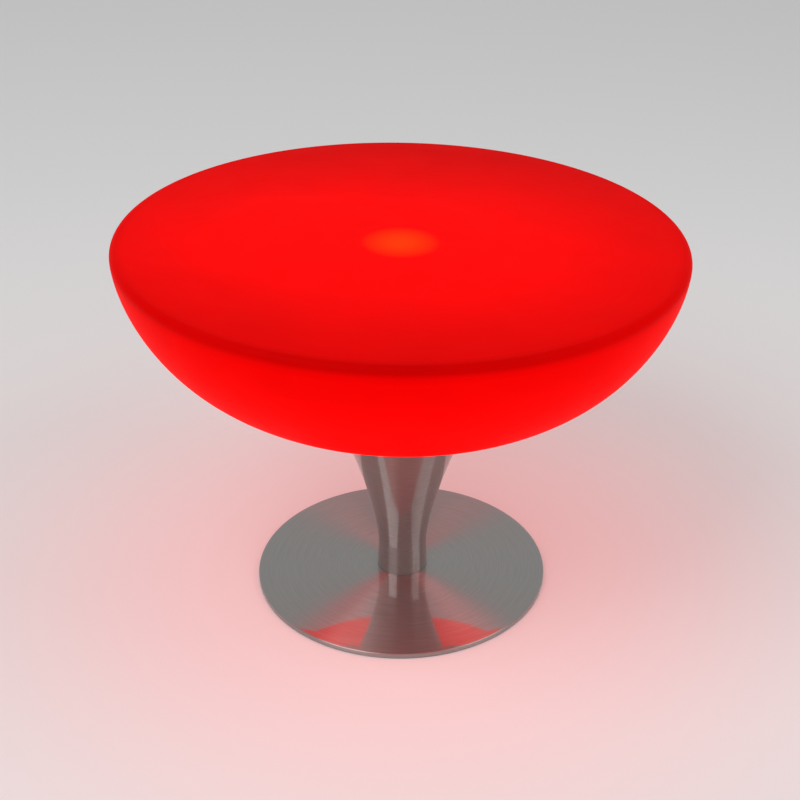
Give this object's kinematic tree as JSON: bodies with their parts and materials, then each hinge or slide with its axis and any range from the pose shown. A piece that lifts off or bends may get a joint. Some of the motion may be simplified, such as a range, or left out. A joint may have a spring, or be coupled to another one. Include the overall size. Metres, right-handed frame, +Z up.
{
  "type": "illuminated lounge table",
  "caption": "Free-standing lounge table: a hollow translucent bowl lit from inside, on a trumpet-shaped steel column and a round steel base, with a control panel at the back.",
  "frame": {"origin": "on the floor under the middle of the table", "axes": "+Z up; +Y towards the back of the table, where the control panel is; the picture was taken from -Y"},
  "size_m": [0.8, 0.8, 0.57],
  "materials": {
    "translucent_polyethylene": "satin",
    "opal_polycarbonate": "satin",
    "polished_stainless": "polished, brushed in circles",
    "zinc_plated_steel": "zinc plated",
    "ballast_steel": "black paint",
    "aluminium": "mill finish",
    "brass": "turned",
    "black_rubber": "matt",
    "black_abs": "fine texture",
    "circuit_board": "solder mask",
    "white_solder_mask": "solder mask",
    "battery_wrap": "shrink wrap",
    "lead_sheath": "extruded"
  },
  "bodies": {
    "table": {"ballast_plate": "ballast_steel", "base_cover": "polished_stainless", "base_hub": "zinc_plated_steel", "battery_clamp": "zinc_plated_steel", "battery_lead": "lead_sheath", "battery_pack": "battery_wrap", "bowl_insert_1": "brass", "bowl_insert_2": "brass", "bowl_insert_3": "brass", "bowl_insert_4": "brass", "bowl_insert_5": "brass", "bowl_insert_6": "brass", "bowl_screw_1": "zinc_plated_steel", "bowl_screw_2": "zinc_plated_steel", "bowl_screw_3": "zinc_plated_steel", "bowl_screw_4": "zinc_plated_steel", "bowl_screw_5": "zinc_plated_steel", "bowl_screw_6": "zinc_plated_steel", "bowl_shell": "translucent_polyethylene", "cap_pin": "zinc_plated_steel", "charge_socket": "black_abs", "column_shell": "polished_stainless", "control_panel": "black_abs", "controller_board": "circuit_board", "diffuser_dome": "opal_polycarbonate", "floor_ring": "black_rubber", "hub_screw_1": "zinc_plated_steel", "hub_screw_2": "zinc_plated_steel", "hub_screw_3": "zinc_plated_steel", "hub_screw_4": "zinc_plated_steel", "lead_grommet": "black_rubber", "led_board": "white_solder_mask", "led_lead": "lead_sheath", "lid_screw_1": "zinc_plated_steel", "lid_screw_2": "zinc_plated_steel", "lid_screw_3": "zinc_plated_steel", "light_tray": "aluminium", "mounting_flange": "zinc_plated_steel", "neck_gasket": "black_rubber", "panel_gasket": "black_rubber", "panel_lead": "lead_sheath", "panel_screw_1": "zinc_plated_steel", "panel_screw_2": "zinc_plated_steel", "rod_nut": "zinc_plated_steel", "rod_washer": "zinc_plated_steel", "switch_block": "black_abs", "tie_rod": "zinc_plated_steel", "tray_lid": "aluminium"},
    "button": {"power_button": "black_abs"},
    "cap": {"charge_cap": "black_rubber"}
  },
  "joints": [
    {"name": "power_button_press", "type": "slide", "parent": "table", "child": "button", "axis": [0, -0.214, 0.9768], "range_m": [0, 0.002], "stiffness_N_per_m": 300, "springref_m": -0.002},
    {"name": "charge_cap_hinge", "type": "hinge", "parent": "table", "child": "cap", "pos_m": [0.0165, 0.20575, 0.33992], "axis": [1, 0, 0], "range_deg": [0, 110]}
  ]
}
